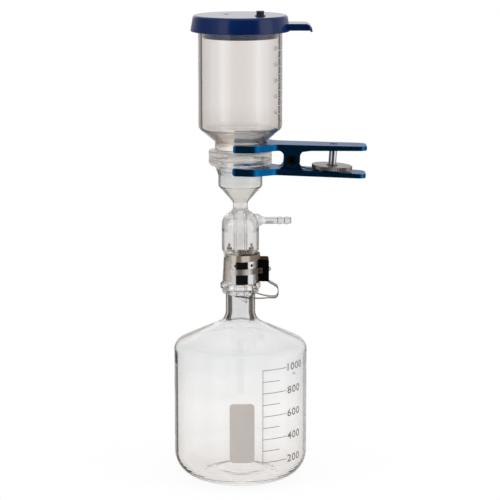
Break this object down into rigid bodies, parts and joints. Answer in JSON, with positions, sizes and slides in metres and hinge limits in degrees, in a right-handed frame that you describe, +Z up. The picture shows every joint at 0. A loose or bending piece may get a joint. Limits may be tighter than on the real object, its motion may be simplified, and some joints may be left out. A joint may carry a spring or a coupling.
{
  "type": "vacuum filtration unit",
  "caption": "Glass funnel with a lid, clamped on a filter base with a hose nozzle, whose ground joint stands on the neck of a wide receiving bottle and is held by a metal clip.",
  "frame": {"origin": "on the bottle's axis, in the plane that the bottle's foot stands on", "axes": "+Z up along the bottle's axis, +X towards the vacuum nozzle, the clamp's handles and the lid's tab, +Y to the back"},
  "size_m": [0.1683, 0.1172, 0.4126],
  "materials": {
    "bottle_glass": "clear, smooth",
    "base_glass": "clear, smooth",
    "funnel_glass": "clear, smooth",
    "screen_steel": "satin",
    "seal_ptfe": "matte white",
    "lid_plastic": "glossy navy",
    "plug_plastic": "glossy navy",
    "clamp_blue": "anodised blue",
    "pin_metal": "satin",
    "spring_steel": "satin",
    "stud_steel": "bright",
    "disc_metal": "grey, fine grooves round the rim",
    "clip_steel": "polished stainless sheet",
    "leaf_steel": "polished spring steel",
    "rivet_metal": "satin"
  },
  "bodies": {
    "unit": {"bottle": "bottle_glass", "filter_base": "base_glass", "support_screen": "screen_steel", "screen_seal": "seal_ptfe", "funnel": "funnel_glass", "clamp_upper_arm": "clamp_blue", "clamp_hinge_pin": "pin_metal", "clamp_torsion_spring": "spring_steel", "clamp_screw_stud": "stud_steel", "clip_sleeve": "clip_steel", "clip_strap_front": "clip_steel", "clip_strap_back": "clip_steel", "clip_bracket": "clip_steel", "clip_fork_spring": "leaf_steel", "clip_strap_rivets": "rivet_metal", "clip_spring_rivet": "rivet_metal", "clip_sleeve_rivets": "rivet_metal"},
    "lid": {"lid": "lid_plastic", "lid_vent_plug": "plug_plastic"},
    "lower_arm": {"clamp_lower_arm": "clamp_blue"},
    "thumb_disc": {"clamp_thumb_disc": "disc_metal"}
  },
  "joints": [
    {"name": "lid_lift", "type": "slide", "parent": "unit", "child": "lid", "axis": [0, 0, 1], "range_m": [0, 0.03]},
    {"name": "clamp_open", "type": "hinge", "parent": "unit", "child": "lower_arm", "pos_m": [0.0446, 0, 0.28415], "axis": [0, -1, 0], "range_deg": [0, 12], "stiffness_Nm_per_rad": 0.3, "springref_deg": -28.65, "deforming": ["clamp_torsion_spring"]},
    {"name": "thumb_disc_rise", "type": "slide", "parent": "unit", "child": "thumb_disc", "axis": [0.0663, 0, 0.9978], "range_m": [0, 0.0115]}
  ],
  "couplings": [
    {"joint": "thumb_disc_rise", "follows": "clamp_open", "m_per_rad": 0.053}
  ]
}
